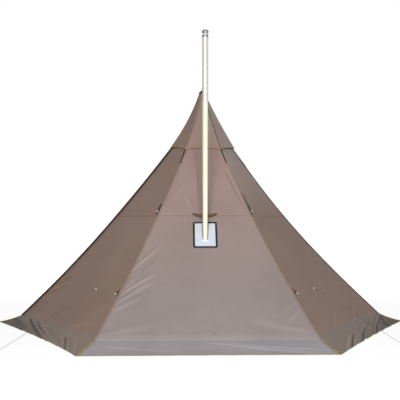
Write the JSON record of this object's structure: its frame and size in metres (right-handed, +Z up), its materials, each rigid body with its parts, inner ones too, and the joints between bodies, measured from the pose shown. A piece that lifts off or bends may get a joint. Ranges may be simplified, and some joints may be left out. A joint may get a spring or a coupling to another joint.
{
  "type": "hot tent",
  "caption": "Pyramid hot tent on a centre pole, with a hooded vent, a stove jack with a tall flue, a small wood stove inside, a zipped door, a snow skirt and guy lines.",
  "frame": {"origin": "on the ground under the centre pole", "axes": "+Z up; -Y towards the wall with the stove jack; +X to the right seen from that side, along the tent's longest measure between two skirt corners"},
  "size_m": [4.6, 4.0109, 3.0783],
  "materials": {
    "canopy_cloth": "woven polyester, matt, taupe",
    "net": "fine black mesh",
    "webbing": "woven dark brown webbing",
    "ring_plastic": "moulded white plastic",
    "black_plastic": "moulded black plastic",
    "pole_alloy": "drawn tube, satin",
    "zip_alloy": "die-cast, satin",
    "zip_coil": "black coil on tape",
    "jack_cloth": "coated glass cloth, pale grey-blue, slightly shiny",
    "jack_binding": "black woven binding",
    "pipe_steel": "rolled stainless sheet, bright",
    "stove_steel": "dark heat-stained steel",
    "bright_steel": "bright steel wire and sheet",
    "cord": "braided pale grey cord"
  },
  "bodies": {
    "tent": {"apex_cone": "canopy_cloth", "belt_ring_left": "ring_plastic", "belt_ring_right": "ring_plastic", "belt_tab_left": "webbing", "belt_tab_right": "webbing", "brace_ring_left": "ring_plastic", "brace_ring_right": "ring_plastic", "brace_tab_left": "webbing", "brace_tab_right": "webbing", "guy_line_left": "cord", "guy_line_right": "cord", "guy_peg_left": "bright_steel", "guy_peg_right": "bright_steel", "hood": "canopy_cloth", "hood_cap": "webbing", "jack_binding": "jack_binding", "jack_cover": "canopy_cloth", "jack_patch": "jack_cloth", "lower_front": "canopy_cloth", "lower_front_left": "canopy_cloth", "lower_front_right": "canopy_cloth", "lower_rear_left": "canopy_cloth", "lower_rear_right": "canopy_cloth", "pipe_lower": "pipe_steel", "pipe_middle": "pipe_steel", "pipe_upper": "pipe_steel", "pole_foot": "black_plastic", "pole_lower": "pole_alloy", "pole_middle": "pole_alloy", "pole_tip": "black_plastic", "pole_upper": "pole_alloy", "snow_skirt": "canopy_cloth", "spark_arrestor": "pipe_steel", "stove_body": "stove_steel", "stove_hinge_pin": "bright_steel", "tie_out_ring_left": "ring_plastic", "tie_out_ring_right": "ring_plastic", "tie_out_tab_left": "webbing", "tie_out_tab_right": "webbing", "top_loop": "webbing", "upper_front": "canopy_cloth", "upper_front_left": "canopy_cloth", "upper_front_right": "canopy_cloth", "upper_rear": "canopy_cloth", "upper_rear_left": "canopy_cloth", "upper_rear_right": "canopy_cloth", "vent_net": "net"},
    "door_left": {"door_leaf_left": "canopy_cloth", "zip_chain_left": "zip_coil"},
    "door_right": {"door_leaf_right": "canopy_cloth", "zip_chain_right": "zip_coil"},
    "zip_slider": {"zip_slider": "zip_alloy"},
    "fire_door": {"stove_door": "stove_steel"},
    "fire_door_latch": {"stove_latch": "bright_steel"},
    "air_slide": {"air_slide": "bright_steel"},
    "leg_frame_front": {"stove_leg_front": "bright_steel"},
    "leg_frame_rear": {"stove_leg_rear": "bright_steel"},
    "damper": {"flue_damper": "stove_steel"},
    "tensioner_left": {"guy_tensioner_left": "black_plastic"},
    "tensioner_right": {"guy_tensioner_right": "black_plastic"}
  },
  "joints": [
    {"name": "door_left_swing", "type": "hinge", "parent": "tent", "child": "door_left", "pos_m": [-1.02, 1.76669, 0.092], "axis": [0.3446, -0.5968, 0.7246], "range_deg": [0, 100]},
    {"name": "door_right_swing", "type": "hinge", "parent": "tent", "child": "door_right", "pos_m": [1.02, 1.76669, 0.092], "axis": [0.3446, 0.5968, -0.7246], "range_deg": [0, 100]},
    {"name": "zip_travel", "type": "slide", "parent": "door_left", "child": "zip_slider", "axis": [0, -0.6357, 0.7719], "range_m": [0, 1.375]},
    {"name": "fire_door_swing", "type": "hinge", "parent": "tent", "child": "fire_door", "pos_m": [-0.095, -0.6537, 0.28], "axis": [0, 0, 1], "range_deg": [0, 150]},
    {"name": "latch_turn", "type": "hinge", "parent": "fire_door", "child": "fire_door_latch", "pos_m": [0.063, -0.6597, 0.28], "axis": [0, 1, 0], "range_deg": [0, 90]},
    {"name": "air_slide_travel", "type": "slide", "parent": "fire_door", "child": "air_slide", "axis": [1, 0, 0], "range_m": [0, 0.013]},
    {"name": "leg_front_fold", "type": "hinge", "parent": "tent", "child": "leg_frame_front", "pos_m": [0, -0.71, 0.1654], "axis": [-1, 0, 0], "range_deg": [0, 90]},
    {"name": "leg_rear_fold", "type": "hinge", "parent": "tent", "child": "leg_frame_rear", "pos_m": [0, -1.03, 0.1654], "axis": [1, 0, 0], "range_deg": [0, 90]},
    {"name": "damper_turn", "type": "hinge", "parent": "tent", "child": "damper", "pos_m": [0, -1.01, 0.64], "axis": [1, 0, 0], "range_deg": [0, 90]},
    {"name": "tensioner_left_travel", "type": "slide", "parent": "tent", "child": "tensioner_left", "axis": [-0.6385, -0.6628, -0.3911], "range_m": [-0.3, 0.3]},
    {"name": "tensioner_right_travel", "type": "slide", "parent": "tent", "child": "tensioner_right", "axis": [0.6923, -0.5613, -0.4535], "range_m": [-0.3, 0.3]}
  ]
}
